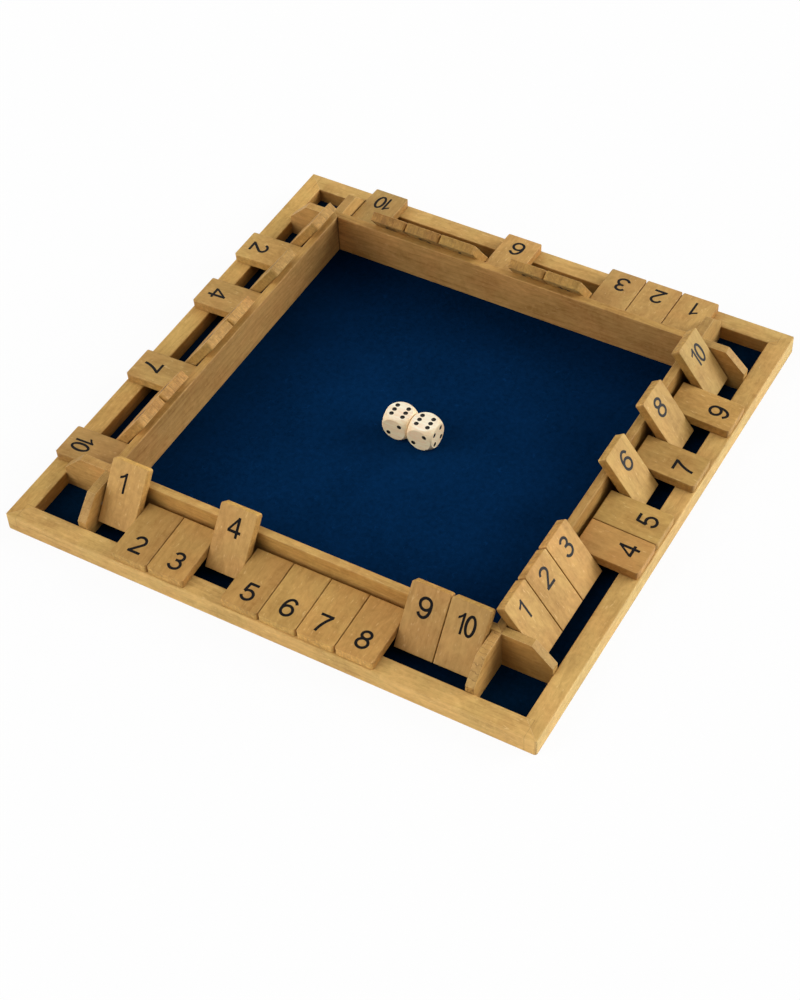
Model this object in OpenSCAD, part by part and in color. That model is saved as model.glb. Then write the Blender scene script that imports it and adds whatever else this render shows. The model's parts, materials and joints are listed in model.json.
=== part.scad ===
// Four-sided shut the box game: a low square tray with a row of numbered
// flip-over tiles along each side, and two dice in the middle.
// The origin is at the centre of the underside. The front row faces -Y.

/* [Tiles] */
// Tiles in each of the four rows
tile_count = 10; // [4:1:10]
// Width of a tile along its row
tile_w = 23.1; // [18:0.1:28]
// Length of a tile
tile_l = 38.4; // [34:0.1:44]
// Thickness of a tile
tile_t = 5.8; // [4.6:0.1:7]
// Gap between neighbouring tiles
tile_gap = 0.4; // [0.3:0.05:1]
// Distance from a tile's hinge end to its bore
heel = 10; // [8:0.1:12]
// Radius of the two corners at a tile's free end
tip_r = 2; // [1:0.1:4]
// Radius that eases the edges of a tile
tile_ease = 0.6; // [0.3:0.05:1]
// Front row from its left end, U for a raised tile and D for a lowered one
front_row = "UDDUDDDDUU"; // 10
// Right row from its near end
right_row = "UUUDDUDUDU"; // 10
// Back row from its right end
back_row = "DDDUUDUUUD"; // 10
// Left row from its far end
left_row = "UDUDUUDUUD"; // 10

/* [Hinges] */
// Diameter of the rod through a row of tiles
rod_d = 3; // [2:0.1:4]
// Radial clearance of a tile on its rod
rod_clear = 0.07; // [0.03:0.01:0.1]
// Height of the rod's axis above the outer frame's top
rod_rise = 4.4; // [3.8:0.1:6]
// Depth to which each end of the rod sits in its end block
rod_seat = 3.5; // [2:0.1:4.5]
// Gap between a turning tile's hinge end and the inner frame
swing_gap = 2.2; // [1:0.1:4]
// Gap left where a raised or a lowered tile comes to rest
rest_gap = 0.1; // [0.05:0.01:0.3]

/* [Frames] */
// Width of an outer rail
rail_w = 12; // [9:0.5:15]
// Height of an outer rail
rail_h = 11.2; // [10:0.1:16]
// Set-back of a lowered tile's tip from the outer frame's outside
tip_inset = 0.6; // [0:0.1:3]
// Radius that eases the top edges of an outer rail
rail_ease = 0.8; // [0.3:0.1:2]
// Radius of the outer frame's four upright corners
corner_r = 1.6; // [0.5:0.1:5]
// Thickness of an inner rail
inner_t = 5; // [3:0.1:8]
// Height of the inner frame above the outer frame
inner_rise = 16.9; // [14:0.1:20]
// Radius that eases the top edges of an inner rail
inner_ease = 0.6; // [0.3:0.1:1.4]

/* [End blocks] */
// Thickness of an end block
block_t = 5.2; // [4.6:0.1:8]
// Length of an end block's level top
block_flat = 17.5; // [12:0.1:22]
// Drop from the inner frame's top to an end block's top
block_drop = 0.6; // [0:0.1:2]
// Height of an end block's outer end above the outer frame
block_lip = 4.3; // [1:0.1:8]
// Least gap between the end tile of a row and its end block
end_gap = 0.8; // [0.4:0.1:2]
// Gap between the raised end tiles of two rows where they meet
corner_gap = 0.5; // [0.4:0.1:2]

/* [Base] */
// Thickness of the base board
base_t = 1.8; // [1.2:0.1:3]
// Thickness of the felt
felt_t = 0.4; // [0.3:0.1:1]
// Width of the step that seats the base board under an outer rail
rebate_w = 6; // [3:0.5:8]
// Gap round the edge of the base board
base_gap = 0.2; // [0.1:0.05:0.5]

/* [Dice] */
// Width of a die across its faces
die_s = 16; // [12:0.5:20]
// Diameter of the ball that rounds a die's corners
die_ball_d = 21.8; // [20.5:0.1:26]
// Diameter of a pip
pip_d = 2.9; // [1.6:0.1:3]
// Depth of a pip
pip_depth = 0.6; // [0.3:0.05:1]
// Distance between pips along a row
pip_pitch = 3.6; // [3.2:0.1:4]
// Place of the pair of dice to the right of the centre
dice_x = 1.8; // [-60:0.1:60]
// Place of the pair of dice behind the centre
dice_y = -1; // [-60:0.1:60]
// Gap between the two dice
dice_gap = 0.6; // [0.4:0.1:10]
// Distance by which the right die lies nearer than the left one
dice_slip = 0.7; // [0:0.1:6]

/* [Hidden] */
SIDES = ["front", "right", "back", "left"];
ROWS = [front_row, right_row, back_row, left_row];
QUARTER = 90;
// Facets of a drawn circle
ROUND_FN = 48;
// How far a cutting shape runs past what it cuts
OVER = 1;

// Heights, from the underside
felt_top = base_t + felt_t;
rod_z = rail_h + rod_rise;
inner_top = rail_h + inner_rise;
block_top = inner_top - block_drop;

// Lengths of a tile on each side of its rod, and the circle its heel turns in
tip_len = tile_l - heel;
half_t = tile_t / 2;
heel_swing = norm([heel, half_t]);
// Distance from the inner frame's outside to the rod's axis
rod_out = heel_swing + swing_gap;

// A lowered tile slopes until its eased tip edge meets the outer rail
drop_arm = [tip_len - tile_ease, half_t - tile_ease];
drop_height = rod_rise - rest_gap - tile_ease;
lowered_tilt = asin(drop_height / norm(drop_arm)) - atan2(drop_arm[1], drop_arm[0]);
// A raised tile leans until its face meets the inner rail's eased edge
edge_out = -rod_out - inner_ease;
edge_up = inner_rise - rod_rise - inner_ease;
face_reach = half_t + inner_ease + rest_gap;
raised_lean = atan2(edge_up, edge_out) - acos(-face_reach / norm([edge_out, edge_up]));
// Turn of a tile from lying level with its tip outward
lowered_turn = lowered_tilt;
raised_turn = -(QUARTER + raised_lean);

// Length of a row, and the play that keeps raised end tiles apart at a corner
pitch = tile_w + tile_gap;
half_row = (tile_count * pitch - tile_gap) / 2;
lean_in = tip_len * sin(raised_lean) + half_t * cos(raised_lean);
tip_round = tip_r * (1 + sin(raised_lean) - norm([1, sin(raised_lean)]));
corner_play = lean_in - tip_round + corner_gap / sqrt(2) - block_t - rod_out;
row_play = max(end_gap, corner_play);

// Half widths of the frames, from the centre to each upright face
inner_half = half_row + row_play + block_t;
tray_half = inner_half - inner_t;
rod_half = inner_half + rod_out;
tip_reach = tip_len * cos(lowered_tilt) + half_t * sin(lowered_tilt);
outer_half = rod_half + tip_reach + tip_inset;
well_half = outer_half - rail_w;
trough_w = well_half - inner_half;

// Colours of the woods and the felt
frame_wood = [0.80, 0.63, 0.38];
tile_wood = [0.84, 0.66, 0.42];
block_wood = [0.77, 0.60, 0.36];
die_wood = [0.93, 0.86, 0.72];
rod_metal = [0.62, 0.63, 0.65];
board_brown = [0.45, 0.33, 0.22];
felt_blue = [0.01, 0.12, 0.26];

function side_node(kind, s) = str(kind, "_", SIDES[s]);
function tile_node(s, n) = str("tile_", SIDES[s], "_", n < 10 ? "0" : "", n);
function is_raised(s, n) = ROWS[s][n - 1] == "U";
// Place of tile n along its row
function tile_x(n) = (n - (tile_count + 1) / 2) * pitch;

// Rectangle about the origin with four round corners
module eased_rect(w, h, r) {
    square([w - 2 * r, h], center = true);
    square([w, h - 2 * r], center = true);
    for (x = [-1, 1], y = [-1, 1])
        translate([x * (w / 2 - r), y * (h / 2 - r)])
            circle(r, $fn = ROUND_FN);
}

// Rectangle on the X axis with its two top corners round
module top_eased_rect(w, h, r) {
    square([w, h - r]);
    translate([r, 0])
        square([w - 2 * r, h]);
    for (x = [r, w - r])
        translate([x, h - r])
            circle(r, $fn = ROUND_FN);
}

// Runs a section, drawn across and up, along X about the middle
module run_along_x(length) {
    rotate([QUARTER, 0, QUARTER])
        translate([0, 0, -length / 2])
            linear_extrude(length)
                children();
}

// Puts what is drawn for the front on side s
module on_side(s) {
    rotate([0, 0, QUARTER * s])
        children();
}

// The quarter of the plan that belongs to the front, with mitred ends
module front_quarter(half, height) {
    translate([0, 0, -OVER])
        linear_extrude(height + 2 * OVER)
            polygon([[0, 0], [-half - OVER, -half - OVER], [half + OVER, -half - OVER]]);
}

// Bottom board, seated in the step under the outer rails
module base_board() {
    board_w = 2 * (well_half + rebate_w - base_gap);
    color(board_brown)
        translate([0, 0, base_t / 2])
            cube([board_w, board_w, base_t], center = true);
}

// Felt over the whole board inside the outer frame
module felt_lining() {
    color(felt_blue)
        translate([0, 0, base_t + felt_t / 2])
            cube([2 * well_half, 2 * well_half, felt_t], center = true);
}

// Section of an outer rail, with the step for the base board at its inner foot
module outer_section() {
    difference() {
        top_eased_rect(rail_w, rail_h, rail_ease);
        translate([rail_w - rebate_w, -OVER])
            square([rebate_w + OVER, base_t + OVER]);
    }
}

// One low rail of the outer frame, mitred at both ends
module outer_rail(s) {
    color(frame_wood)
        on_side(s)
            intersection() {
                run_along_x(2 * outer_half)
                    translate([-outer_half, 0])
                        outer_section();
                front_quarter(outer_half, rail_h);
                linear_extrude(rail_h)
                    eased_rect(2 * outer_half, 2 * outer_half, corner_r);
            }
}

// One rail of the taller frame round the dice tray, mitred at both ends
module inner_rail(s) {
    color(frame_wood)
        on_side(s)
            intersection() {
                run_along_x(2 * inner_half)
                    translate([-inner_half, felt_top])
                        top_eased_rect(inner_t, inner_top - felt_top, inner_ease);
                front_quarter(inner_half, inner_top);
            }
}

// Side view of an end block: a level top by the inner frame, then a slope
module block_section() {
    polygon([
        [0, felt_top],
        [trough_w, felt_top],
        [trough_w, rail_h + block_lip],
        [block_flat, block_top],
        [0, block_top]
    ]);
}

// The two blocks at the ends of a row, each with a blind seat for the rod
module end_blocks(s) {
    color(block_wood)
        on_side(s)
            for (end = [-1, 1])
                difference() {
                    translate([end * (inner_half - block_t / 2), -inner_half, 0])
                        mirror([0, 1, 0])
                            run_along_x(block_t)
                                block_section();
                    rod_bar(rod_d + 2 * rod_clear);
                }
}

// Bar on a row's hinge line, as long as the rod
module rod_bar(d) {
    rod_len = 2 * (inner_half - block_t + rod_seat);
    translate([0, -rod_half, rod_z])
        rotate([0, QUARTER, 0])
            cylinder(d = d, h = rod_len, center = true, $fn = ROUND_FN);
}

// The straight rod that a row of tiles turns on
module hinge_rod(s) {
    color(rod_metal)
        on_side(s)
            rod_bar(rod_d);
}

// Plan of a tile lying level, tip outward, with the rod's axis on the X axis
module tile_plan() {
    translate([-tile_w / 2, tip_r - tip_len])
        square([tile_w, tile_l - tip_r]);
    translate([tip_r - tile_w / 2, -tip_len])
        square([tile_w - 2 * tip_r, tile_l]);
    for (x = [-1, 1])
        translate([x * (tile_w / 2 - tip_r), tip_r - tip_len])
            circle(tip_r, $fn = ROUND_FN);
}

// A tile lying level, eased on all its edges and bored for the rod
module tile_blank() {
    difference() {
        intersection() {
            run_along_x(tile_w)
                translate([heel - tile_l / 2, 0])
                    eased_rect(tile_l, tile_t, tile_ease);
            translate([0, heel, 0])
                rotate([QUARTER, 0, 0])
                    linear_extrude(tile_l)
                        eased_rect(tile_w, tile_t, tile_ease);
            translate([0, 0, -half_t])
                linear_extrude(tile_t)
                    tile_plan();
        }
        rotate([0, QUARTER, 0])
            cylinder(d = rod_d + 2 * rod_clear, h = tile_w + 2 * OVER, center = true,
                $fn = ROUND_FN);
    }
}

// Tile n of side s, raised or lowered as its row says
module tile(s, n) {
    turn = is_raised(s, n) ? raised_turn : lowered_turn;
    color(tile_wood)
        on_side(s)
            translate([tile_x(n), -rod_half, rod_z])
                rotate([turn, 0, 0])
                    tile_blank();
}

// Pip places on a face, in steps of the pip pitch
function pip_spots(n) = concat(
    n % 2 == 1 ? [[0, 0]] : [],
    n > 1 ? [[1, 1], [-1, -1]] : [],
    n > 3 ? [[1, -1], [-1, 1]] : [],
    n > 5 ? [[1, 0], [-1, 0]] : []
);

// The number on each face of a die, and the turn that takes the top face there
DIE_FACES = [
    [6, [0, 0, 0]],
    [1, [2 * QUARTER, 0, 0]],
    [2, [QUARTER, 0, 0]],
    [5, [-QUARTER, 0, 0]],
    [4, [0, QUARTER, 0]],
    [3, [0, -QUARTER, 0]]
];

// A die about its centre: a cube within a ball, with a shallow dish for each pip
module die_blank() {
    pip_r = (pow(pip_d / 2, 2) + pow(pip_depth, 2)) / (2 * pip_depth);
    difference() {
        intersection() {
            cube(die_s, center = true);
            sphere(d = die_ball_d, $fn = ROUND_FN);
        }
        for (face = DIE_FACES)
            rotate(face[1])
                for (spot = pip_spots(face[0]))
                    translate([spot[0] * pip_pitch, spot[1] * pip_pitch,
                        die_s / 2 + pip_r - pip_depth])
                        sphere(r = pip_r, $fn = ROUND_FN);
    }
}

// One die on the felt, hand -1 for the left one and 1 for the right one
module die(hand) {
    color(die_wood)
        translate([
            dice_x + hand * (die_s + dice_gap) / 2,
            dice_y - hand * dice_slip / 2,
            felt_top + die_s / 2
        ])
            die_blank();
}

base_board();
felt_lining();
for (s = [0:3]) {
    outer_rail(s);
    inner_rail(s);
    end_blocks(s);
    hinge_rod(s);
    for (n = [1:tile_count])
        tile(s, n);
}
die(-1);  // die_left
die(1);  // die_right
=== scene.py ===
import json
import math
from collections import defaultdict

import bmesh
import bpy
from mathutils import Matrix, Vector
from mathutils.geometry import delaunay_2d_cdt


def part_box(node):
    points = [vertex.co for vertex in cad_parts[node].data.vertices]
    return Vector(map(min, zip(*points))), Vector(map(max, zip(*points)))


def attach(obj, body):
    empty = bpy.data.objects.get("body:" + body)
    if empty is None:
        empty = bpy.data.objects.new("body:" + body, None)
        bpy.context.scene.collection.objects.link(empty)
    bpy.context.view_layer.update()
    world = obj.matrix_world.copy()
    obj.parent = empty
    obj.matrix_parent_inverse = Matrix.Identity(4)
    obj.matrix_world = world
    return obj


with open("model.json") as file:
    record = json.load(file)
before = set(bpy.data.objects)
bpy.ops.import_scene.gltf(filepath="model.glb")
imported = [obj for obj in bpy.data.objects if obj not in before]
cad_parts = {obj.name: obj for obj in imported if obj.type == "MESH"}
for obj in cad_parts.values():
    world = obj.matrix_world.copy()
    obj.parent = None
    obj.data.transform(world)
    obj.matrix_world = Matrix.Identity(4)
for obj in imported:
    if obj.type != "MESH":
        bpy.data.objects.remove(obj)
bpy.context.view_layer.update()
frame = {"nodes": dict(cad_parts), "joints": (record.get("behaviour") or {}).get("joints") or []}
nodes = frame["nodes"]

MM = 0.001
SIDES = ("front", "right", "back", "left")

# Places in millimetres, read off the solids: the tray's and the wells' walls, and the row's pitch
TRAY_HALF = -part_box("inner_rail_front")[1].y / MM
WELL_HALF = -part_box("outer_rail_front")[1].y / MM
TILE_PITCH = (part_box("tile_front_02")[0].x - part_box("tile_front_01")[0].x) / MM
# Sizes of the tiles and of the ball that rounds a die, in millimetres, as the solids have them
TILE_COUNT = 10
TILE_LENGTH = 38.4
TILE_THICK = 5.8
TILE_HEEL = 10.0
DIE_BALL = 10.9
# A raised tile reaches above this height, in metres
RAISED_ABOVE = 0.03


# Camera

# The lens, in pixels of the photograph's height, and the width of the film in millimetres
FOCAL_PIXELS = 2158.8
PICTURE_HEIGHT = 1000.0
FILM_WIDTH = 36.0
# Where the camera stands, in millimetres, and its angles in degrees: left of +Y, below
# the horizon, and clockwise about its own line of sight
CAMERA_PLACE = (449.272, -731.978, 892.289)
CAMERA_HEADING, CAMERA_TILT, CAMERA_ROLL = 32.1308, 47.7646, 3.3414
CAMERA_REACH = (0.01, 50.0)


def make_camera():
    """The photograph's view, from a fit to the corners of the frame and the tiles."""
    data = bpy.data.cameras.new("camera")
    data.sensor_width = FILM_WIDTH
    data.lens = FILM_WIDTH * FOCAL_PIXELS / PICTURE_HEIGHT
    data.clip_start, data.clip_end = CAMERA_REACH
    camera = bpy.data.objects.new("camera", data)
    bpy.context.scene.collection.objects.link(camera)
    camera.matrix_world = (Matrix.Translation(Vector(CAMERA_PLACE) * MM)
                           @ Matrix.Rotation(math.radians(CAMERA_HEADING), 4, "Z")
                           @ Matrix.Rotation(math.radians(90 - CAMERA_TILT), 4, "X")
                           @ Matrix.Rotation(math.radians(-CAMERA_ROLL), 4, "Z"))
    bpy.context.scene.camera = camera


# Node helpers

def rgb(r, g, b):
    return (r, g, b, 1.0)


WHITE = rgb(1.0, 1.0, 1.0)


def joined(tree, made, inputs):
    """Sets or links a node's inputs, by name or number, and gives the node back."""
    for name, value in inputs.items():
        if isinstance(value, bpy.types.NodeSocket):
            tree.links.new(value, made.inputs[name])
        else:
            made.inputs[name].default_value = value
    return made


def add(tree, kind, inputs=None, **settings):
    """A new node, with its settings, and a value or a link for each given input."""
    made = tree.nodes.new(kind)
    for name, value in settings.items():
        setattr(made, name, value)
    return joined(tree, made, inputs or {})


def calc(tree, operation, *values, clamp=False):
    """The output of a Math node."""
    return add(tree, "ShaderNodeMath", dict(enumerate(values)), operation=operation,
               use_clamp=clamp).outputs[0]


def times(tree, first, *others):
    """The product of some values."""
    for other in others:
        first = calc(tree, "MULTIPLY", first, other)
    return first


def stacked(tree, base, parts, clamp=False):
    """A base, plus how far each part is from a half, times its weight."""
    for part, weight in parts:
        swing = calc(tree, "SUBTRACT", part, 0.5)
        base = calc(tree, "ADD", base, times(tree, swing, weight), clamp=clamp)
    return base


def vector(tree, operation, a, b=None, out=0):
    """The output of a Vector Math node."""
    inputs = {0: a}
    if b is not None:
        inputs[1] = b
    return add(tree, "ShaderNodeVectorMath", inputs, operation=operation).outputs[out]


def split(tree, value):
    """The X, Y and Z of a vector."""
    return add(tree, "ShaderNodeSeparateXYZ", {0: value}).outputs


def noise(tree, where, scale, detail=2.0, roughness=0.5, out="Fac", **inputs):
    """The output of a Noise Texture, whose scale is in turns per millimetre."""
    inputs.update({"Vector": where, "Scale": scale, "Detail": detail, "Roughness": roughness})
    return add(tree, "ShaderNodeTexNoise", inputs).outputs[out]


def step(tree, value, low, high, to_low=0.0, to_high=1.0):
    """A smooth step of a value from low to high."""
    made = add(tree, "ShaderNodeMapRange",
               {"Value": value, "From Min": low, "From Max": high,
                "To Min": to_low, "To Max": to_high},
               interpolation_type="SMOOTHSTEP")
    return made.outputs["Result"]


def mix(tree, amount, a, b, blend="MIX"):
    """A colour mix."""
    made = add(tree, "ShaderNodeMix", data_type="RGBA", blend_type=blend)
    return joined(tree, made, {0: amount, 6: a, 7: b}).outputs[2]


def shaded(tree, colour, shade):
    """A colour multiplied by another."""
    return mix(tree, 1.0, colour, shade, "MULTIPLY")


def grey(tree, value):
    """A grey colour of that value."""
    return add(tree, "ShaderNodeCombineColor",
               {"Red": value, "Green": value, "Blue": value}).outputs[0]


def blank_tree(owner):
    """The node tree of a material or a world, emptied."""
    owner.use_nodes = True
    owner.node_tree.nodes.clear()
    return owner.node_tree


def new_material(name):
    """An empty material with its shader: (material, tree, Principled node)."""
    material = bpy.data.materials.new(name)
    tree = blank_tree(material)
    shader = add(tree, "ShaderNodeBsdfPrincipled")
    add(tree, "ShaderNodeOutputMaterial", {0: shader.outputs[0]})
    return material, tree, shader


def bumped(tree, shader, height, strength, depth, soft=None):
    """Gives a shader a bump, depth in millimetres, over the given soft normal."""
    inputs = {"Height": height, "Strength": strength, "Distance": depth * MM}
    if soft is not None:
        inputs["Normal"] = soft.outputs[0]
    joined(tree, shader, {"Normal": add(tree, "ShaderNodeBump", inputs).outputs[0]})


def local_mm(tree, place=(0, 0, 0), turn=(0, 0, 0)):
    """The point in millimetres in a frame that stands at place, turned by turn."""
    where = add(tree, "ShaderNodeTexCoord").outputs["Object"]
    inner = add(tree, "ShaderNodeMapping",
                {"Vector": where, "Location": place, "Rotation": turn}, vector_type="TEXTURE")
    return vector(tree, "MULTIPLY", inner.outputs[0], (1 / MM,) * 3)


def opposite(direction):
    return [-c for c in direction]


def facing(tree, direction, low=0.60, high=0.80):
    """1 on the faces that look in a direction of the piece's own frame, and 0 elsewhere."""
    normal = add(tree, "ShaderNodeTexCoord").outputs["Normal"]
    return step(tree, vector(tree, "DOT_PRODUCT", normal, direction, out=1), low, high)


def facing_both(tree, direction):
    """1 on the faces that look in a direction or in the opposite one, and 0 elsewhere."""
    return calc(tree, "MAXIMUM", facing(tree, direction), facing(tree, opposite(direction)))


def tinted(tree, faces):
    """White, turned into a tint on the faces that each pair's mask names."""
    colour = WHITE
    for mask, tint in faces:
        colour = mix(tree, mask, colour, tint)
    return colour


def line(tree, value, place, width):
    """1 near a place, falling to 0 at half a width from it."""
    away = calc(tree, "ABSOLUTE", calc(tree, "SUBTRACT", value, place))
    return step(tree, away, width / 2, width / 4)


def chance(tree, number, seed):
    """A chance value from 0 to 1 for each whole number."""
    made = add(tree, "ShaderNodeTexWhiteNoise", {"W": calc(tree, "ADD", number, seed)},
               noise_dimensions="1D")
    return made.outputs["Value"]


# Wood

UP = (0.0, 0.0, 1.0)
# How far apart in the log two seeds are cut, in millimetres
LOG_STEP = (173.1, 39.7, 23.9)
# The pith, across the grain from the cut, the width of a growth ring, and how much the rings
# are drawn out along the grain and bent across it
PITH = (0.0, 17.0, 41.0)
RING_WIDTH = 2.7
RING_STRETCH = (0.02, 1.0, 1.0)
RING_BEND = (0.0, 13.0, 13.0)
# Colours in the wood: pores, strokes that took no stain, arrises rubbed paler with a painted
# highlight, and dirt in the cuts
PORE = rgb(0.17, 0.085, 0.025)
PALE_STROKE = rgb(0.78, 0.54, 0.24)
RUBBED_AND_HIGHLIGHT = rgb(0.76, 0.52, 0.23)
DIRT = rgb(0.13, 0.060, 0.018)
GREENER, REDDER = rgb(0.98, 1.01, 0.98), rgb(1.015, 0.99, 0.96)
# How wide the arrises are rubbed paler and painted with a highlight, and how deep the grain goes,
# in millimetres
ARRIS = 0.45
GRAIN_DEPTH = 0.12


def make_wood_group():
    """Solid wood with its grain along X: growth rings, fibres, pores and cloudy stain."""
    tree = bpy.data.node_groups.new("solid_wood", "ShaderNodeTree")
    for name, kind in (("Vector", "NodeSocketVector"), ("Seed", "NodeSocketFloat"),
                       ("Light", "NodeSocketColor"), ("Dark", "NodeSocketColor"),
                       ("Lines", "NodeSocketFloat")):
        tree.interface.new_socket(name, in_out="INPUT", socket_type=kind)
    for name, kind in (("Color", "NodeSocketColor"), ("Roughness", "NodeSocketFloat"),
                       ("Height", "NodeSocketFloat")):
        tree.interface.new_socket(name, in_out="OUTPUT", socket_type=kind)
    given = add(tree, "NodeGroupInput").outputs

    # Each piece is cut from its own place in the log
    shift = {axis: times(tree, given["Seed"], reach) for axis, reach in zip("XYZ", LOG_STEP)}
    point = vector(tree, "ADD", given["Vector"],
                   add(tree, "ShaderNodeCombineXYZ", shift).outputs[0])

    def grain(along, scale, detail=2.0, roughness=0.5, across=1.0, **more):
        """Noise with the point drawn together along the grain and across it."""
        where = vector(tree, "MULTIPLY", point, (along, across, across))
        return noise(tree, where, scale, detail, roughness, **more)

    # Growth rings round a distant pith, bent by slow noise along the grain
    bend = vector(tree, "SUBTRACT", grain(0.22, 0.035, out="Color"), (0.5, 0.5, 0.5))
    bent = vector(tree, "ADD", point, vector(tree, "MULTIPLY", bend, RING_BEND))
    across = vector(tree, "MULTIPLY", bent, RING_STRETCH)
    radius = vector(tree, "LENGTH", vector(tree, "ADD", across, PITH), out=1)
    ring = calc(tree, "FRACT", calc(tree, "DIVIDE", radius, RING_WIDTH))
    late = times(tree, calc(tree, "POWER", ring, 3.0), step(tree, ring, 1.0, 0.93))

    # Fine fibres and short pores, far longer along the grain than across it
    fibre = grain(0.08, 1.9, 4.0, 0.68)
    pore = step(tree, grain(0.11, 3.4, 1.0), 0.66, 0.78)
    streak = grain(0.05, 0.55)
    # Cloudy stain, in patches of a few millimetres and of a few centimetres
    cloud = grain(0.35, 0.11, 3.0, 0.6)
    patch = grain(0.5, 0.032)
    smear = grain(0.6, 0.17, 3.0, 0.6, Distortion=1.3)
    mottle = grain(0.6, 0.62, 3.0, 0.62)
    # Curly figure: faint waves across the grain, in places
    wave = grain(1.0, 0.55, across=0.22, Distortion=0.4)
    wave = stacked(tree, 0.5, ((wave, step(tree, cloud, 0.48, 0.62)),))

    lines = stacked(tree, times(tree, late, 0.34), ((fibre, 0.85), (streak, 0.70)))
    tone = stacked(tree, times(tree, lines, given["Lines"]),
                   ((cloud, 0.90), (patch, 0.80), (smear, 0.95), (mottle, 0.45), (wave, 0.55)))
    tone = calc(tree, "ADD", tone, 0.38, clamp=True)
    colour = mix(tree, tone, given["Light"], given["Dark"])
    # The stain drifts between a greener and a redder brown
    drift = noise(tree, vector(tree, "ADD", point, (31.0, 7.0, 3.0)), 0.045)
    colour = shaded(tree, colour, mix(tree, step(tree, drift, 0.38, 0.62), GREENER, REDDER))
    colour = mix(tree, times(tree, pore, 0.22), colour, PORE)
    # Short pale strokes, where the stain didn't take
    fleck = grain(0.28, 0.85, Distortion=0.5)
    colour = mix(tree, step(tree, fleck, 0.64, 0.74, 0.0, 0.42), colour, PALE_STROKE)
    roughness = calc(tree, "ADD", 0.50, times(tree, fibre, 0.16))
    cut = calc(tree, "ADD", pore, times(tree, late, 0.4))
    height = calc(tree, "SUBTRACT", times(tree, fibre, 0.7), cut)
    add(tree, "NodeGroupOutput", {"Color": colour, "Roughness": roughness, "Height": height})
    return tree


WOOD = make_wood_group()
FRAME_LIGHT, FRAME_DARK = rgb(0.666, 0.410, 0.142), rgb(0.373, 0.200, 0.056)
TILE_LIGHT, TILE_DARK = rgb(0.596, 0.343, 0.109), rgb(0.333, 0.163, 0.041)
# The four values of each table below are for the front, the right, the back and the left.
# Painted light on the outer rails' tops and outer faces, and painted shade on their inner faces
OUTER_TOP_PAINTED_LIGHT = (rgb(1.09, 1.12, 1.10), rgb(1.06, 1.06, 1.02), rgb(1.08, 1.11, 1.10),
             rgb(1.08, 1.09, 1.00))
OUTER_FACE_PAINTED_LIGHT = (rgb(1.14, 1.17, 1.13), rgb(1.21, 1.35, 1.48), rgb(1.21, 1.35, 1.48),
              rgb(1.14, 1.17, 1.13))
WELL_FACE_PAINTED_SHADE = (rgb(0.67, 0.58, 0.46), rgb(0.80, 0.69, 0.54), rgb(0.67, 0.58, 0.46),
             rgb(0.80, 0.69, 0.54))
# Painted shade on the tray rails' tops, backs and walls
TRAY_TOP_PAINTED_SHADE = (rgb(0.97, 0.94, 0.85), rgb(0.80, 0.78, 0.70), rgb(0.85, 0.80, 0.70),
            rgb(0.84, 0.80, 0.72))
TRAY_BACK_PAINTED_SHADE = (rgb(0.91, 0.83, 0.68), rgb(0.70, 0.66, 0.55), rgb(0.90, 0.84, 0.74),
             rgb(0.90, 0.84, 0.74))
TRAY_WALL_PAINTED_SHADE = (rgb(0.80, 0.74, 0.71), rgb(0.80, 0.74, 0.71), rgb(0.85, 0.75, 0.71),
             rgb(0.80, 0.74, 0.73))
# Painted light and shade on the walls' inner faces, along their length and from the felt up: from,
# to, and the shades there
WALL_LENGTH_PAINTED_LIGHT = (((-118.0, 118.0, 0.97, 1.0),), ((-118.0, 118.0, 0.95, 1.0),),
              ((-118.0, -10.0, 0.74, 1.0), (98.0, 118.0, 1.0, 1.65)),
              ((-118.0, 118.0, 1.06, 0.90),))
WALL_RISE_PAINTED_LIGHT = ((5.0, 25.0, 1.0, 1.0), (5.0, 25.0, 1.0, 1.0), (14.0, 26.0, 0.99, 1.08),
             (5.0, 25.0, 1.10, 0.95))
# Painted shade on the end blocks' broad faces and narrow ones
BLOCK_FACE_PAINTED_SHADE = (rgb(0.80, 0.76, 0.68), rgb(0.74, 0.64, 0.50), rgb(0.95, 0.95, 0.94),
              rgb(0.98, 0.90, 0.84))
BLOCK_EDGE_PAINTED_SHADE = (rgb(0.87, 0.84, 0.79), rgb(0.84, 0.84, 0.78), rgb(0.74, 0.71, 0.67),
              rgb(0.87, 0.84, 0.79))
# Painted light and shade on the end blocks' broad faces, at the tray and at the outer rail, and on
# the row's first and second block
BLOCK_RUN_PAINTED_LIGHT = ((1.0, 1.4), (1.2, 0.85), (1.0, 1.0), (1.0, 1.0))
BLOCK_PAIR_PAINTED_LIGHT = ((1.0, 1.0), (1.0, 1.0), (1.0, 1.0), (0.84, 1.08))
# Depth of the saw marks on the narrow faces of the row's first and second block
BLOCK_SAW = ((0.6, 1.3), (0.6, 0.6), (0.6, 0.6), (0.6, 0.6))
# Painted light and shade on the tiles' four kinds of face: the one that shows when lowered, the
# one that shows when raised, the ends and the sides
LOWERED_FACE_PAINTED_LIGHT = (rgb(1.05, 1.05, 1.00), rgb(1.01, 1.02, 0.97), rgb(1.08, 1.15, 1.22),
                rgb(1.08, 1.16, 1.22))
RAISED_FACE_PAINTED_LIGHT = (rgb(1.05, 1.04, 1.02), rgb(1.07, 1.13, 1.14), rgb(1.05, 1.05, 1.03),
               rgb(1.05, 1.05, 1.03))
TILE_END_PAINTED_LIGHT = (rgb(1.20, 1.22, 1.05), rgb(1.04, 1.03, 0.98), rgb(0.82, 0.77, 0.60),
            rgb(1.04, 1.03, 0.98))
TILE_SIDE_PAINTED_SHADE = (rgb(0.90, 0.87, 0.80), rgb(0.66, 0.60, 0.48), rgb(0.90, 0.87, 0.80),
             rgb(0.90, 0.92, 0.85))
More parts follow.
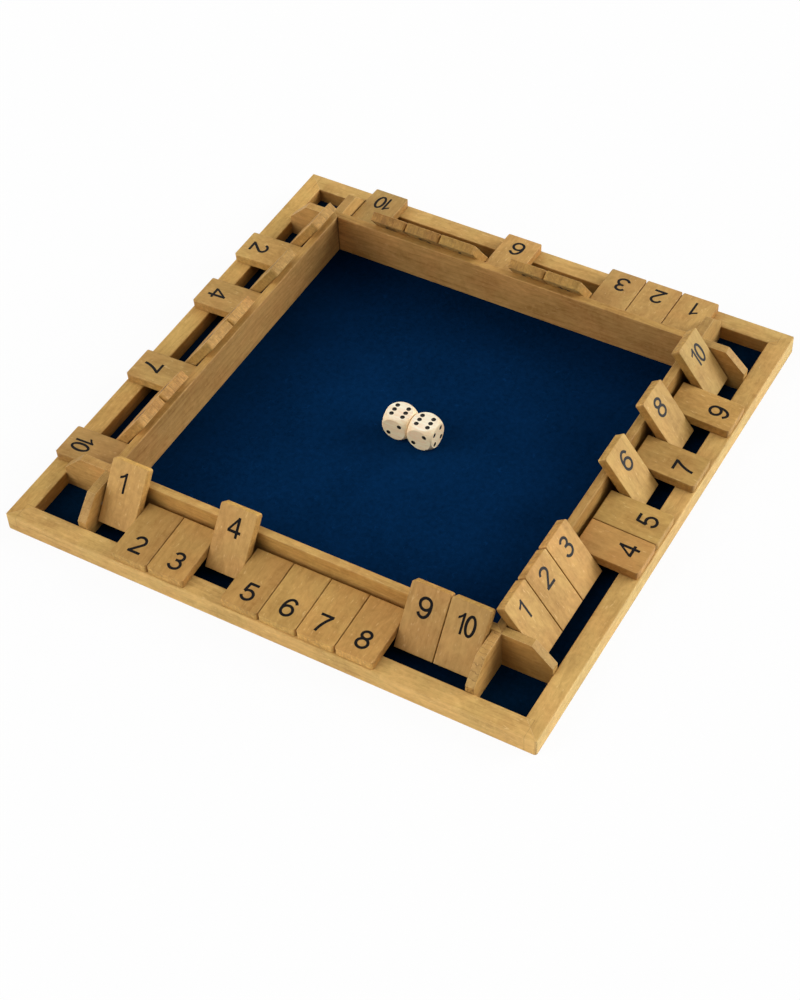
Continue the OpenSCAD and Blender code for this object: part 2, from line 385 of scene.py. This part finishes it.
# How the stain took on the tiles of each row by chance: the seed, the least and the range,
# of the tone of the lowered and of the raised tiles, and of the redness
TILE_TONE = ((70.5, 0.82, 0.24), (65.5, 0.91, 0.18), (27.5, 0.69, 0.35), (69.5, 0.73, 0.35))
RAISED_TONE = (TILE_TONE[0], TILE_TONE[1], (27.5, 0.88, 0.12), (69.5, 0.88, 0.12))
TILE_REDNESS = ((20.5, 0.96, 0.07), (50.5, 0.92, 0.17), (65.5, 0.94, 0.10), (57.5, 0.95, 0.12))
# Depth of the saw lines on the tiles' ends
SAW_DEPTH = (0.35, 0.50, 0.50, 0.55)
# Where in the log the pieces are cut
OUTER_SEED = (1.3, 4.3, 3.3, 2.3)
INNER_SEED = (7.7, 8.7, 9.7, 10.7)
BLOCK_SEED = (13.1, 14.1, 15.1, 16.1)
TILE_SEED = (48.0, 80.0, 112.0, 144.0)
DIE_SEED = {"die_left": 2.2, "die_right": 5.9}


def row_axes(side):
    """A row's turn about Z, and its directions outward and along itself."""
    turn = math.radians(90 * side)
    return turn, (math.sin(turn), -math.cos(turn), 0.0), (math.cos(turn), math.sin(turn), 0.0)


def wood_node(tree, point, seed, light, dark, lines):
    """The wood group, cut at a seed, between two colours."""
    made = tree.nodes.new("ShaderNodeGroup")
    made.node_tree = WOOD
    return joined(tree, made, {"Vector": point, "Seed": seed, "Light": light, "Dark": dark,
                               "Lines": lines})


def wood(tree, shader, point, seed, light, dark, shades=(), marks=None, lines=0.6, rub_and_highlight=0.75):
    """Joins the wood group to a shader.

    shades are colours that multiply the wood's own, painted light and shade among them, and marks
    is a height in the wood's bump that also darkens it. The arrises are rubbed paler and painted
    with a highlight."""
    made = wood_node(tree, point, seed, light, dark, lines)
    colour, height = made.outputs["Color"], made.outputs["Height"]
    for shade in shades:
        colour = shaded(tree, colour, shade)
    soft = add(tree, "ShaderNodeBevel", {"Radius": ARRIS * MM}, samples=4)
    flat = add(tree, "ShaderNodeNewGeometry").outputs["True Normal"]
    bend = vector(tree, "DOT_PRODUCT", soft.outputs[0], flat, out=1)
    worn = noise(tree, point, 0.5, 3.0, 0.6)
    # Painted highlight along the arrises, where the soft normal bends away, together with wear
    # that rubbed them paler
    painted_light = times(tree, step(tree, bend, 0.995, 0.88), step(tree, worn, 0.25, 0.55), rub_and_highlight)
    colour = mix(tree, painted_light, colour, RUBBED_AND_HIGHLIGHT)
    if marks is not None:
        colour = mix(tree, times(tree, marks, 0.55), colour, DIRT)
        height = calc(tree, "SUBTRACT", height, times(tree, marks, 3.0))
    joined(tree, shader, {"Base Color": colour, "Roughness": made.outputs["Roughness"],
                          "Specular IOR Level": 0.22})
    bumped(tree, shader, height, 0.35, GRAIN_DEPTH, soft)


def outer_rail_material(name, side):
    """A low outer rail: grain along it, painted light on its top and outer face, painted shade on
    its inner face, joint lines.
    """
    material, tree, shader = new_material(name)
    turn, outward, _ = row_axes(side)
    point = local_mm(tree, turn=(0, 0, turn))
    # Painted light on the top and the outer face, painted shade on the inner face, chosen face by
    # face
    faces = ((facing(tree, UP), OUTER_TOP_PAINTED_LIGHT[side]), (facing(tree, outward), OUTER_FACE_PAINTED_LIGHT[side]),
             (facing(tree, opposite(outward)), WELL_FACE_PAINTED_SHADE[side]))
    # The ends of the rails are let into each other: a short step on top of each corner
    lap, width, slack = WELL_HALF + 5.0, 0.5, 0.1
    away_x, away_y, _ = split(tree, vector(tree, "ABSOLUTE", local_mm(tree)))
    end = calc(tree, "GREATER_THAN", away_y, WELL_HALF - slack)
    step_line = times(tree, line(tree, away_x, lap, width), end)
    near = times(tree, calc(tree, "GREATER_THAN", away_x, WELL_HALF - slack),
                 calc(tree, "LESS_THAN", away_x, lap))
    edge_line = times(tree, line(tree, away_y, WELL_HALF + 0.2, width), near)
    broken = step(tree, noise(tree, point, 0.3, 2.0, 0.6), 0.30, 0.65, 0.15, 0.75)
    marks = times(tree, calc(tree, "MAXIMUM", step_line, edge_line), broken)
    wood(tree, shader, point, OUTER_SEED[side], FRAME_LIGHT, FRAME_DARK,
         (tinted(tree, faces),), marks)
    return material


def inner_rail_material(name, side):
    """A rail of the tray: painted shade on its top, back and walls, painted light and shade along
    the walls, with the dark crack of its mitres in the tray.
    """
    material, tree, shader = new_material(name)
    turn, outward, _ = row_axes(side)
    point = local_mm(tree, turn=(0, 0, turn))
    inside = facing(tree, opposite(outward))
    # Painted shade, face by face: on the top, the back and the walls
    faces = ((facing(tree, UP), TRAY_TOP_PAINTED_SHADE[side]), (facing(tree, outward), TRAY_BACK_PAINTED_SHADE[side]),
             (inside, TRAY_WALL_PAINTED_SHADE[side]))
    along, _, height = split(tree, point)
    # Painted light and shade along each wall and up it, kept to the wall's inner face
    stain_and_painted_light = step(tree, height, *WALL_RISE_PAINTED_LIGHT[side])
    for run in WALL_LENGTH_PAINTED_LIGHT[side]:
        stain_and_painted_light = times(tree, stain_and_painted_light, step(tree, along, *run))
    stain_and_painted_light = calc(tree, "ADD", 1.0, times(tree, calc(tree, "SUBTRACT", stain_and_painted_light, 1.0), inside))
    crack = step(tree, calc(tree, "ABSOLUTE", along), TRAY_HALF - 0.75, TRAY_HALF - 0.2)
    marks = times(tree, crack, inside, 1.2)
    wood(tree, shader, point, INNER_SEED[side], FRAME_LIGHT, FRAME_DARK,
         (tinted(tree, faces), grey(tree, stain_and_painted_light)), marks, lines=0.9)
    return material


def block_material(name, side):
    """An end block: its grain runs out from the tray, with saw marks across its narrow edges."""
    material, tree, shader = new_material(name)
    turn, _, along = row_axes(side)
    point = local_mm(tree, turn=(0, 0, turn + math.pi / 2))
    out = split(tree, point)[0]
    broad = facing_both(tree, along)
    edge = calc(tree, "SUBTRACT", 1.0, broad)
    place = vector(tree, "DOT_PRODUCT", local_mm(tree), along, out=1)

    saw_pitch = 2.9
    warp = noise(tree, point, 0.25)
    saw = calc(tree, "FRACT", calc(tree, "ADD", calc(tree, "DIVIDE", out, saw_pitch),
                                   times(tree, warp, 1.6)))
    saw = times(tree, step(tree, saw, 0.16, 0.0), step(tree, warp, 0.35, 0.55))
    marks = times(tree, saw, edge, step(tree, place, -1.0, 1.0, *BLOCK_SAW[side]))

    # Painted light and shade on the broad faces: along them, and block by block
    run = step(tree, times(tree, out, -1.0), TRAY_HALF + 5.0, WELL_HALF, *BLOCK_RUN_PAINTED_LIGHT[side])
    pair = step(tree, place, -1.0, 1.0, *BLOCK_PAIR_PAINTED_LIGHT[side])
    shade = mix(tree, broad, WHITE, grey(tree, times(tree, run, pair)))
    # Painted shade, face by face
    faces = ((edge, BLOCK_EDGE_PAINTED_SHADE[side]), (broad, BLOCK_FACE_PAINTED_SHADE[side]))
    wood(tree, shader, point, BLOCK_SEED[side], FRAME_LIGHT, FRAME_DARK,
         (tinted(tree, faces), shade), marks)
    return material


def tile_stain(tree, number, side, raised):
    """How dark and how red the stain took on each tile of a row."""
    tone_seed, least_tone, tone_range = (RAISED_TONE if raised else TILE_TONE)[side]
    red_seed, least_red, red_range = TILE_REDNESS[side]
    tone = calc(tree, "ADD", least_tone, times(tree, chance(tree, number, tone_seed), tone_range))
    redness = calc(tree, "ADD", least_red,
                   times(tree, chance(tree, number, red_seed), red_range))
    # The red and the rest are shared out so that their mean stays the tone
    red = times(tree, tone, times(tree, calc(tree, "ADD", 1.0, redness), 0.5))
    rest = times(tree, tone, times(tree, calc(tree, "SUBTRACT", 3.0, redness), 0.5))
    return add(tree, "ShaderNodeCombineColor",
               {"Red": red, "Green": rest, "Blue": rest}).outputs[0]


def tile_material(name, side, row_place, lean, raised):
    """Wood of the tiles of one row in one state, each tile cut from its own place."""
    material, tree, shader = new_material(name)
    turn, _, _ = row_axes(side)
    point = local_mm(tree, row_place, (lean, 0, turn))
    along_row, to_heel, out_of_face = split(tree, point)
    number = calc(tree, "FLOOR", calc(tree, "ADD", calc(tree, "DIVIDE", along_row, TILE_PITCH),
                                      TILE_COUNT / 2))
    grained = add(tree, "ShaderNodeCombineXYZ",
                  {0: to_heel, 1: along_row, 2: out_of_face}).outputs[0]
    seed = times(tree, chance(tree, number, TILE_SEED[side]), 9.0)
    # The tile's own axes: along the row, towards its tip, and out of its upper face
    frame_turn = Matrix.Rotation(turn, 3, "Z") @ Matrix.Rotation(lean, 3, "X")
    across, tip, upper = (tuple(frame_turn @ Vector(a)) for a in ((1, 0, 0), (0, -1, 0), UP))
    sides, ends = facing_both(tree, across), facing_both(tree, tip)
    # Painted light and shade, face by face
    faces = ((facing(tree, upper), LOWERED_FACE_PAINTED_LIGHT[side]),
             (facing(tree, opposite(upper)), RAISED_FACE_PAINTED_LIGHT[side]),
             (sides, TILE_SIDE_PAINTED_SHADE[side]), (ends, TILE_END_PAINTED_LIGHT[side]))
    # The cut faces are rougher, so they took the stain unevenly
    cut = calc(tree, "MAXIMUM", sides, ends)
    blotch = calc(tree, "SUBTRACT", noise(tree, point, 0.42, 4.0, 0.65), 0.5)
    blotch = grey(tree, calc(tree, "ADD", 1.0, times(tree, blotch, cut, 1.1)))
    # Saw lines across the thickness of the ends
    teeth = noise(tree, vector(tree, "MULTIPLY", point, (1.0, 1.0, 0.06)), 1.1, 2.0, 0.6)
    marks = times(tree, step(tree, teeth, 0.50, 0.68), ends, SAW_DEPTH[side])
    stain_and_painted_light = tile_stain(tree, number, side, raised)
    wood(tree, shader, grained, seed, TILE_LIGHT, TILE_DARK,
         (stain_and_painted_light, tinted(tree, faces), blotch), marks, lines=0.35, rub_and_highlight=0.32)
    return material


# Felt, board and rods

FELT_DARK, FELT_LIGHT = rgb(0.0004, 0.0092, 0.0290), rgb(0.0022, 0.0270, 0.0970)
# Painted shade on the felt of the tray, darker towards its walls: axis, from, to, and the shade
# there
FELT_PAINTED_SHADE = ((0, -35.0, -TRAY_HALF, 0.68), (0, 50.0, TRAY_HALF, 0.86), (1, 0.0, 60.0, 0.87),
               (1, 60.0, TRAY_HALF, 0.60), (1, -60.0, -TRAY_HALF, 0.92))
# Painted shade on the felt under the tiles
WELL_FELT_PAINTED_SHADE = rgb(0.55, 0.50, 0.42)


def felt_material():
    """Dark blue felt: matted fibres, a short nap, and painted shade towards the tray's walls and
    in the wells under the tiles.
    """
    material, tree, shader = new_material("felt")
    point = local_mm(tree)
    fibre = noise(tree, point, 1.7, 5.0, 0.7, Distortion=1.2)
    tuft = noise(tree, point, 0.35, 3.0, 0.6)
    cloud = noise(tree, point, 0.02)
    tone = stacked(tree, 0.56, ((fibre, 1.4), (tuft, 0.85), (cloud, 0.6)), clamp=True)
    # A few loose pale hairs lie on the nap
    curve = calc(tree, "ABSOLUTE",
                 calc(tree, "SUBTRACT", noise(tree, point, 0.10, 1.0, Distortion=1.2), 0.5))
    hair = times(tree, step(tree, curve, 0.010, 0.002),
                 step(tree, noise(tree, point, 0.21, 2.0, 0.6), 0.52, 0.64))
    tone = calc(tree, "ADD", tone, times(tree, hair, 0.9), clamp=True)
    parts = split(tree, point)
    # Painted shade: the felt of the tray darkens towards its walls
    painted_light = 1.0
    for axis, start, end, shade in FELT_PAINTED_SHADE:
        painted_light = times(tree, painted_light, step(tree, parts[axis], start, end, 1.0, shade))
    reach = calc(tree, "MAXIMUM", calc(tree, "ABSOLUTE", parts[0]),
                 calc(tree, "ABSOLUTE", parts[1]))
    # Painted shade on the felt in the wells, under the tiles
    under_rail = TRAY_HALF + 2.0
    shade = mix(tree, calc(tree, "GREATER_THAN", reach, under_rail), grey(tree, painted_light), WELL_FELT_PAINTED_SHADE)
    colour = shaded(tree, mix(tree, tone, FELT_DARK, FELT_LIGHT), shade)
    joined(tree, shader, {"Base Color": colour, "Roughness": 0.95, "Specular IOR Level": 0.0})
    bumped(tree, shader, fibre, 0.6, 0.25)
    return material


def board_material():
    """Plain pressed board under the tray."""
    material, tree, shader = new_material("base_board")
    point = local_mm(tree)
    speck = noise(tree, point, 1.4, 4.0, 0.7)
    cloud = noise(tree, point, 0.03)
    tone = calc(tree, "ADD", times(tree, speck, 0.6), times(tree, cloud, 0.5), clamp=True)
    colour = mix(tree, tone, rgb(0.16, 0.085, 0.038), rgb(0.34, 0.21, 0.11))
    joined(tree, shader, {"Base Color": colour, "Roughness": 0.8})
    bumped(tree, shader, speck, 0.3, 0.1)
    return material


def rod_material(name, side):
    """Drawn steel rod, with fine lines along it."""
    material, tree, shader = new_material(name)
    point = local_mm(tree, turn=(0, 0, row_axes(side)[0]))
    drawn = noise(tree, vector(tree, "MULTIPLY", point, (0.02, 1.0, 1.0)), 6.0, 3.0, 0.6)
    colour = mix(tree, drawn, rgb(0.42, 0.42, 0.43), rgb(0.66, 0.66, 0.68))
    roughness = calc(tree, "ADD", 0.25, times(tree, drawn, 0.25))
    joined(tree, shader, {"Base Color": colour, "Metallic": 1.0, "Roughness": roughness})
    return material


# Dice and ink

DIE_LIGHT, DIE_DARK = rgb(1.00, 0.93, 0.73), rgb(0.95, 0.70, 0.47)
# Painted light and shade on the dice: their sides lighter and warmer, their tops a little cooler
DIE_SIDE_PAINTED_LIGHT, DIE_TOP_PAINTED_LIGHT = rgb(1.03, 0.96, 0.85), rgb(0.97, 0.98, 1.02)
PIP_PAINT, PIP_CENTRE = rgb(0.004, 0.0035, 0.0035), rgb(0.040, 0.028, 0.018)
INK, WORN_INK = rgb(0.0022, 0.0016, 0.0022), rgb(0.018, 0.013, 0.010)


def die_material(node):
    """Pale turned wood, with the paint in the pips' dishes."""
    low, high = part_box(node)
    centre, half = (low + high) / 2, (high.z - low.z) / 2 / MM
    material, tree, shader = new_material(node)
    point = local_mm(tree, centre)
    away = split(tree, vector(tree, "ABSOLUTE", point))
    cube = calc(tree, "MAXIMUM", calc(tree, "MAXIMUM", away[0], away[1]), away[2])
    ball = vector(tree, "LENGTH", point, out=1)
    # A dish is whatever lies below both the cube's faces and the ball
    dish = times(tree, calc(tree, "LESS_THAN", cube, half - 0.05),
                 calc(tree, "LESS_THAN", ball, DIE_BALL - 0.25))
    paint = mix(tree, step(tree, cube, half - 0.50, half - 0.57), PIP_PAINT, PIP_CENTRE)
    grained = vector(tree, "MULTIPLY", point, (1.0, 1.6, 1.6))
    made = wood_node(tree, grained, DIE_SEED[node], DIE_LIGHT, DIE_DARK, 1.0)
    # Painted light on the sides, painted shade on the top
    shade = mix(tree, facing(tree, UP, 0.55, 0.95), DIE_SIDE_PAINTED_LIGHT, DIE_TOP_PAINTED_LIGHT)
    colour = mix(tree, dish, shaded(tree, made.outputs["Color"], shade), paint)
    roughness = add(tree, "ShaderNodeMapRange",
                    {"Value": dish, "To Min": 0.42, "To Max": 0.60}).outputs[0]
    joined(tree, shader, {"Base Color": colour, "Roughness": roughness,
                          "Specular IOR Level": 0.25})
    soft = add(tree, "ShaderNodeBevel", {"Radius": 0.25 * MM}, samples=4)
    bumped(tree, shader, made.outputs["Height"], 0.25, 0.08, soft)
    return material


def ink_material():
    """Black printing ink with a faint gloss, worn thin in specks."""
    material, tree, shader = new_material("ink")
    worn = step(tree, noise(tree, local_mm(tree), 2.2, 3.0, 0.7), 0.60, 0.78)
    joined(tree, shader, {"Base Color": mix(tree, worn, INK, WORN_INK), "Roughness": 0.38,
                          "Specular IOR Level": 0.12})
    return material


# Numerals

DIGIT_HEIGHT = 12.0
STROKE = 1.68
# The foot of a numeral, from the tile's tip
TIP_MARGIN = 5.3
# How far the ink goes into the wood and stands proud of it
INK_SUNK, INK_PROUD = 0.03, 0.04
# How far each number of the front and the right row is printed off its place: right and up
PRINT_SHIFT = {
    "front": ((-1.0, -0.9), (0.1, -0.4), (1.45, -0.3), (0.2, 0.1), (0.3, -0.3),
              (0.95, 0.3), (-1.0, -0.3), (0.0, 0.3), (-0.5, -0.9), (0.1, -0.9)),
    "right": ((0.0, 0.3), (0.3, 0.5), (0.4, 0.7), (1.05, 0.45), (0.85, 0.15),
              (1.0, -0.3), (-1.15, -0.45), (-1.3, 0.8), (-0.1, -0.2), (0.6, -0.7)),
}


def arc(cx, cy, rx, ry, start, end, count=28):
    """Points on an ellipse, from one angle to another, in degrees."""
    angles = [math.radians(start + (end - start) * i / count) for i in range(count + 1)]
    return [(cx + rx * math.cos(a), cy + ry * math.sin(a)) for a in angles]


def curve_through(a, control, b, count=14):
    """Points on a quadratic curve."""
    points = []
    for i in range(count + 1):
        t = i / count
        points.append(tuple((1 - t) ** 2 * p + 2 * t * (1 - t) * c + t * t * q
                            for p, c, q in zip(a, control, b)))
    return points


def ribbon(points, width=STROKE):
    """Quads along a line of points, mitred at its bends and cut square at its ends."""
    sides = []
    for i, point in enumerate(points):
        here = Vector(point)
        before = Vector(points[max(i - 1, 0)])
        after = Vector(points[min(i + 1, len(points) - 1)])
        inward = (here - before).normalized() if i else (after - here).normalized()
        outward = (after - here).normalized() if i < len(points) - 1 else inward
        middle = (inward + outward).normalized()
        normal = Vector((-middle.y, middle.x))
        reach = width / 2 / max(0.3, middle.dot(inward))
        sides.append((here + normal * reach, here - normal * reach))
    return [[sides[i][0], sides[i][1], sides[i + 1][1], sides[i + 1][0]]
            for i in range(len(points) - 1)]


def ring(cx, cy, rx, ry, count=56):
    """Quads of a closed ellipse."""
    quads = []
    half = STROKE / 2
    for i in range(count):
        corners = []
        for step_on, grow in ((0, half), (0, -half), (1, -half), (1, half)):
            a = 2 * math.pi * (i + step_on) / count
            corners.append(Vector((cx + (rx + grow) * math.cos(a),
                                   cy + (ry + grow) * math.sin(a))))
        quads.append(corners)
    return quads


def one(shift=0.0, flag_reach=1.0):
    flag = [(1.15, 12.0), (0.20, 12.0), (-0.25, 11.35), (-1.15, 10.45), (-2.25, 9.75),
            (-3.35, 9.25), (-3.35, 7.85), (-2.45, 8.15), (-1.30, 8.80), (-0.25, 9.60),
            (-0.25, 0.0), (1.15, 0.0)]
    return [[Vector((x * (flag_reach if x < -1 else 1) + shift, y)) for x, y in flag]]


def two():
    neck = ribbon(arc(0.0, 8.55, 3.05, 2.78, 174, -38) + [(-3.1, 0.9)])
    return neck + ribbon([(-3.95, STROKE / 2), (3.95, STROKE / 2)])


def three():
    upper = ribbon(arc(-0.1, 8.92, 2.75, 2.41, 160, -90) + [(-1.2, 6.51)])
    return upper + ribbon([(-1.2, 6.5)] + arc(-0.1, 3.59, 3.3, 2.92, 90, -166))


def four():
    slant = [Vector(p) for p in ((-4.1, 4.17), (-2.5, 4.17), (1.3, 9.75), (1.3, 11.95))]
    return ribbon([(1.7, 0.0), (1.7, 11.95)]) + ribbon([(-4.1, 3.5), (4.1, 3.5)]) + [slant]


def five():
    flag = ribbon([(3.45, 11.15), (-2.45, 11.15)]) + ribbon([(-1.84, 11.6), (-2.72, 5.75)])
    return flag + ribbon(arc(0.15, 3.85, 3.3, 3.17, 149, -164))


def six():
    tail = arc(0.45, 5.6, 3.65, 5.72, 38, 180) + [(-3.2, 3.85)]
    return ring(0.05, 3.85, 3.25, 3.22) + ribbon(tail)


def seven():
    leg = ribbon(curve_through((3.25, 11.0), (-0.9, 5.9), (-1.55, 0.0)))
    return ribbon([(-3.86, 11.15), (3.86, 11.15)]) + leg


def eight():
    return ring(0.0, 8.98, 2.72, 2.35) + ring(0.0, 3.62, 3.25, 2.95)


def nine():
    """A six turned upside down."""
    return [[Vector((-p.x, DIGIT_HEIGHT - p.y)) for p in quad] for quad in six()]


def ten():
    """A one with a shorter flag, and a narrow nought."""
    return one(-2.55, 0.8) + ring(2.45, 6.0, 3.3 - STROKE / 2, 5.37)


NUMERALS = (one, two, three, four, five, six, seven, eight, nine, ten)


def numeral_plate(bm, polygons, matrix):
    """Adds a numeral as one thin closed plate of ink, its face along the matrix's Z."""
    points, faces = [], []
    for polygon in polygons:
        turned = sum(a.x * b.y - b.x * a.y for a, b in zip(polygon, polygon[1:] + polygon[:1]))
        faces.append(list(range(len(points), len(points) + len(polygon))))
        points.extend(polygon if turned > 0 else polygon[::-1])
    flat, _, triangles, _, _, owners = delaunay_2d_cdt(points, [], faces, 1, 1e-4)
    part = bmesh.new()
    made = [part.verts.new((p.x, p.y, 0.0)) for p in flat]
    for triangle, owner in zip(triangles, owners):
        if owner:
            part.faces.new([made[i] for i in triangle])
    for vert in [v for v in part.verts if not v.link_faces]:
        part.verts.remove(vert)
    bmesh.ops.recalc_face_normals(part, faces=part.faces)
    if part.faces and sum(f.normal.z for f in part.faces) < 0:
        bmesh.ops.reverse_faces(part, faces=part.faces)
    bmesh.ops.dissolve_limit(part, angle_limit=0.01, verts=part.verts, edges=part.edges)
    bmesh.ops.translate(part, verts=part.verts, vec=(0, 0, -INK_SUNK))
    lower = list(part.faces)
    grown = bmesh.ops.extrude_face_region(part, geom=lower, use_keep_orig=True)
    top = [g for g in grown["geom"] if isinstance(g, bmesh.types.BMVert)]
    bmesh.ops.translate(part, verts=top, vec=(0, 0, INK_SUNK + INK_PROUD))
    bmesh.ops.reverse_faces(part, faces=lower)
    bmesh.ops.triangulate(part, faces=part.faces)
    bmesh.ops.transform(part, matrix=matrix, verts=part.verts)
    mesh = bpy.data.meshes.new("part")
    part.to_mesh(mesh)
    part.free()
    bm.from_mesh(mesh)
    bpy.data.meshes.remove(mesh)


def object_from(bm, name, material):
    """A new object in the scene, from a bmesh that is freed."""
    mesh = bpy.data.meshes.new(name)
    bm.to_mesh(mesh)
    bm.free()
    mesh.materials.append(material)
    made = bpy.data.objects.new(name, mesh)
    bpy.context.scene.collection.objects.link(made)
    return made


def tile_turn(side, node):
    """The turn of a tile about its rod from lying level, read off its broad faces."""
    back = Matrix.Rotation(math.radians(-90 * side), 3, "Z")
    area = defaultdict(float)
    for polygon in nodes[node].data.polygons:
        area[tuple(round(c, 3) for c in polygon.normal)] += polygon.area
    normal = back @ Vector(max(area, key=area.get))
    if normal.z < 0:
        normal = -normal
    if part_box(node)[1].z > RAISED_ABOVE:
        return math.atan2(normal.y, -normal.z)
    return math.atan2(-normal.y, normal.z)


def number_piece(side, number, node, turn, ink):
    """The numeral on both faces of a tile, each upright for the player on that side."""
    joint = next(j for j in frame["joints"] if j["child"] == node)
    place = (Matrix.Translation(joint["pos_m"]) @ Matrix.Rotation(math.radians(90 * side), 4, "Z")
             @ Matrix.Rotation(turn, 4, "X") @ Matrix.Scale(MM, 4))
    foot, half = TILE_HEEL - TILE_LENGTH + TIP_MARGIN, TILE_THICK / 2
    upper = Matrix.Translation((0, foot, half))
    under = (Matrix.Translation((0, foot + DIGIT_HEIGHT, -half))
             @ Matrix.Rotation(math.pi, 4, "X"))
    shifts = PRINT_SHIFT.get(SIDES[side], ((0.0, 0.0),) * TILE_COUNT)
    shift = Vector(shifts[number - 1])
    polygons = [[p + shift for p in polygon] for polygon in NUMERALS[number - 1]()]
    bm = bmesh.new()
    for face in (upper, under):
        numeral_plate(bm, polygons, place @ face)
    piece = object_from(bm, f"number_{SIDES[side]}_{number:02d}", ink)
    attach(piece, node)


# Dressing the solids

def dress(node, material):
    """Puts a material on all of a solid's slots."""
    data = nodes[node].data
    data.materials.clear()
    data.materials.append(material)


def dress_row(side, ink):
    """Dresses one row's rails, blocks, rod and tiles, and prints its numbers."""
    name = SIDES[side]
    for part, make in (("outer_rail", outer_rail_material), ("inner_rail", inner_rail_material),
                       ("end_blocks", block_material), ("hinge_rod", rod_material)):
        dress(f"{part}_{name}", make(f"{part}_{name}", side))
    low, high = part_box(f"hinge_rod_{name}")
    looks = {}
    for number in range(1, TILE_COUNT + 1):
        node = f"tile_{name}_{number:02d}"
        turn = tile_turn(side, node)
        number_piece(side, number, node, turn, ink)
        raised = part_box(node)[1].z > RAISED_ABOVE
        if raised not in looks:
            state = "raised" if raised else "lowered"
            looks[raised] = tile_material(f"tile_{name}_{state}", side, (low + high) / 2, turn,
                                          raised)
        dress(node, looks[raised])


def dress_all():
    dress("felt_lining", felt_material())
    dress("base_board", board_material())
    ink = ink_material()
    for side in range(len(SIDES)):
        dress_row(side, ink)
    for node in DIE_SEED:
        dress(node, die_material(node))


# Stage and light

# Half the width of the floor in metres, its grey, and how much of what the camera sees of it
# is plain white
FLOOR_HALF = 4.0
FLOOR_GREY = rgb(0.90, 0.90, 0.90)
FLOOR_WHITENESS = 0.93
# Soft boxes of the surround: azimuth from +X and height in degrees, narrowness, strength,
# and what reflections see of it beyond the white surround
SOFT_BOXES = ((0, 90, 3, 0.80, 0.0), (0, 24, 10, 0.46, 0.0), (40, 18, 20, 10.4, 11.5),
              (225, 24, 10, 4.8, 0.0))


def make_floor():
    """A white floor that keeps a faint shadow."""
    material = bpy.data.materials.new("floor")
    tree = blank_tree(material)
    plain = add(tree, "ShaderNodeBsdfDiffuse", {"Color": FLOOR_GREY})
    glow = add(tree, "ShaderNodeEmission", {"Color": WHITE, "Strength": 1.0})
    path = add(tree, "ShaderNodeLightPath").outputs
    seen = calc(tree, "MAXIMUM", path["Is Camera Ray"], path["Is Glossy Ray"])
    share = times(tree, seen, FLOOR_WHITENESS)
    both = add(tree, "ShaderNodeMixShader", {0: share, 1: plain.outputs[0], 2: glow.outputs[0]})
    add(tree, "ShaderNodeOutputMaterial", {0: both.outputs[0]})
    bm = bmesh.new()
    bmesh.ops.create_grid(bm, x_segments=4, y_segments=4, size=FLOOR_HALF)
    object_from(bm, "floor", material)


def make_surround():
    """A white surround with large soft boxes."""
    world = bpy.data.worlds.new("world")
    bpy.context.scene.world = world
    tree = blank_tree(world)
    ahead = add(tree, "ShaderNodeTexCoord").outputs["Generated"]
    light, gloss = 0.0, 1.0
    for azimuth, height, narrowness, power, shine in SOFT_BOXES:
        turn, rise = math.radians(azimuth), math.radians(height)
        toward = (math.cos(turn) * math.cos(rise), math.sin(turn) * math.cos(rise),
                  math.sin(rise))
        near = calc(tree, "MAXIMUM", vector(tree, "DOT_PRODUCT", ahead, toward, out=1), 0.0)
        lobe = calc(tree, "POWER", near, narrowness)
        light = calc(tree, "ADD", light, times(tree, lobe, power))
        gloss = calc(tree, "ADD", gloss, times(tree, lobe, shine))
    path = add(tree, "ShaderNodeLightPath").outputs
    shown = calc(tree, "MAXIMUM", path["Is Camera Ray"], path["Is Transmission Ray"])
    other = calc(tree, "SUBTRACT", 1.0, calc(tree, "MAXIMUM", shown, path["Is Glossy Ray"]))
    strength = calc(tree, "ADD", shown, times(tree, light, other))
    strength = calc(tree, "ADD", strength, times(tree, gloss, path["Is Glossy Ray"]))
    back = add(tree, "ShaderNodeBackground", {"Color": WHITE, "Strength": strength})
    add(tree, "ShaderNodeOutputWorld", {0: back.outputs[0]})


bpy.context.scene.view_settings.view_transform = "Standard"
make_camera()
dress_all()
make_floor()
make_surround()
